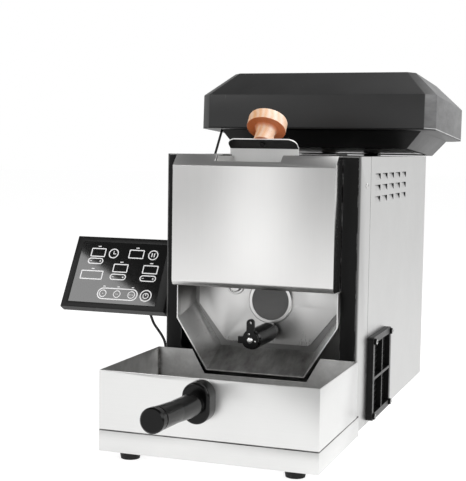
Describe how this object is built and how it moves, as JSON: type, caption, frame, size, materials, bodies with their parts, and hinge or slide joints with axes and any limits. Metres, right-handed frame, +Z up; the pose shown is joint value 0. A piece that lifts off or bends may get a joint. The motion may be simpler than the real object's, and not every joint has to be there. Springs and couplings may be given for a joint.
{
  "type": "home coffee bean roaster",
  "caption": "Countertop coffee roaster with a front-fed drum, swinging discharge door and chute, pull-out cooling tray, hinged smoke hood and side touch panel.",
  "frame": {"origin": "centre of the whole machine's bounding box, on the surface that its feet stand on", "axes": "+X to the right as seen from the front, +Y from the front to the back, +Z up"},
  "size_m": [0.385, 0.7015, 0.4022],
  "materials": {
    "stainless": "brushed, bright",
    "casing_steel": "satin, pale",
    "tray_steel": "finely brushed, pale",
    "plinth_steel": "finely brushed, pale",
    "black_paint": "black powder coat",
    "hood_paint": "matt charcoal",
    "skirt_paint": "matt black",
    "inner_steel": "plain sheet, heat-stained",
    "bright_steel": "bright plated",
    "dark_screws": "blackened screws",
    "brass_parts": "plain brass and sintered bronze",
    "gear_steel": "machined",
    "motor_grey": "grey can",
    "bakelite": "black moulded, satin gloss",
    "maple": "lacquered",
    "foot_rubber": "matt",
    "window_glass": "heat-proof, smoky",
    "panel_black": "black glass front",
    "panel_plastic": "fine grain",
    "cable_rubber": "matt",
    "black_plastic": "moulded"
  },
  "bodies": {
    "casing": {"base_pan": "plinth_steel", "rubber_feet": "foot_rubber", "front_frame": "black_paint", "side_strips": "casing_steel", "side_panel_left": "casing_steel", "side_panel_right": "casing_steel", "top_panel": "casing_steel", "rear_panel": "casing_steel", "front_cover": "stainless", "hopper": "stainless", "gate_rails": "stainless", "front_plate": "inner_steel", "roast_chamber": "inner_steel", "bulkhead": "inner_steel", "heater_rods": "bright_steel", "drum_bearings": "brass_parts", "gear_plate": "inner_steel", "drum_motor": "motor_grey", "door_pin": "bright_steel", "bean_chute": "stainless", "hinge_bracket": "skirt_paint", "hinge_pin": "bright_steel", "stay_pivot": "bright_steel", "panel_housing": "panel_plastic", "panel_glass": "panel_black", "panel_cable": "cable_rubber", "cable_glands": "panel_plastic", "fan_frame": "black_plastic", "fan_guard": "black_plastic", "guard_mesh": "black_plastic", "power_inlet": "black_plastic", "switch_frame": "black_plastic", "casing_screws": "dark_screws", "guard_screws": "bright_steel"},
    "drum": {"drum_shell": "inner_steel", "drum_gear": "gear_steel"},
    "pinion": {"motor_pinion": "brass_parts"},
    "fan": {"fan_rotor": "black_plastic"},
    "door": {"door_plate": "stainless", "sight_ring": "stainless", "sight_glass": "window_glass", "sampling_port": "stainless", "door_grip": "bakelite"},
    "latch": {"latch_lever": "bakelite", "latch_rod": "bright_steel", "latch_screws": "bright_steel"},
    "gate": {"feed_gate": "stainless", "wood_knob": "maple", "knob_screw": "bright_steel"},
    "tray": {"cooling_tray": "tray_steel", "tray_screen": "tray_steel", "handle_foot": "bakelite", "tray_handle": "bakelite", "handle_screws": "bright_steel"},
    "hood": {"hood_shell": "hood_paint", "hood_skirt": "skirt_paint", "chaff_filter": "inner_steel"},
    "stay": {"hood_stay": "bright_steel"},
    "rocker": {"power_rocker": "black_plastic"}
  },
  "joints": [
    {"name": "drum_spin", "type": "hinge", "parent": "casing", "child": "drum", "pos_m": [0.0445, 0.08471, 0.168], "axis": [0, 1, 0], "continuous": true},
    {"name": "pinion_spin", "type": "hinge", "parent": "casing", "child": "pinion", "pos_m": [0.0769, 0.24671, 0.1248], "axis": [0, 1, 0], "continuous": true},
    {"name": "fan_spin", "type": "hinge", "parent": "casing", "child": "fan", "pos_m": [0.1365, 0.02431, 0.058], "axis": [1, 0, 0], "continuous": true},
    {"name": "door_swing", "type": "hinge", "parent": "casing", "child": "door", "pos_m": [0.0445, -0.04709, 0.18], "axis": [-1, 0, 0], "range_deg": [0, 35]},
    {"name": "latch_turn", "type": "hinge", "parent": "door", "child": "latch", "pos_m": [0.0505, -0.09529, 0.109], "axis": [0, 1, 0], "range_deg": [0, 90]},
    {"name": "gate_slide", "type": "slide", "parent": "casing", "child": "gate", "axis": [0, 0, 1], "range_m": [0, 0.034]},
    {"name": "tray_slide", "type": "slide", "parent": "casing", "child": "tray", "axis": [0, -1, 0], "range_m": [0, 0.15]},
    {"name": "hood_hinge", "type": "hinge", "parent": "casing", "child": "hood", "pos_m": [0.0445, 0.31071, 0.295], "axis": [-1, 0, 0], "range_deg": [0, 72]},
    {"name": "stay_swing", "type": "hinge", "parent": "casing", "child": "stay", "pos_m": [-0.0765, 0.07871, 0.262], "axis": [1, 0, 0], "range_deg": [-120, 0]},
    {"name": "switch_rock", "type": "hinge", "parent": "casing", "child": "rocker", "pos_m": [0.0395, 0.30171, 0.046], "axis": [1, 0, 0], "range_deg": [-16, 0]}
  ],
  "couplings": [
    {"joint": "pinion_spin", "follows": "drum_spin", "ratio": -4}
  ]
}
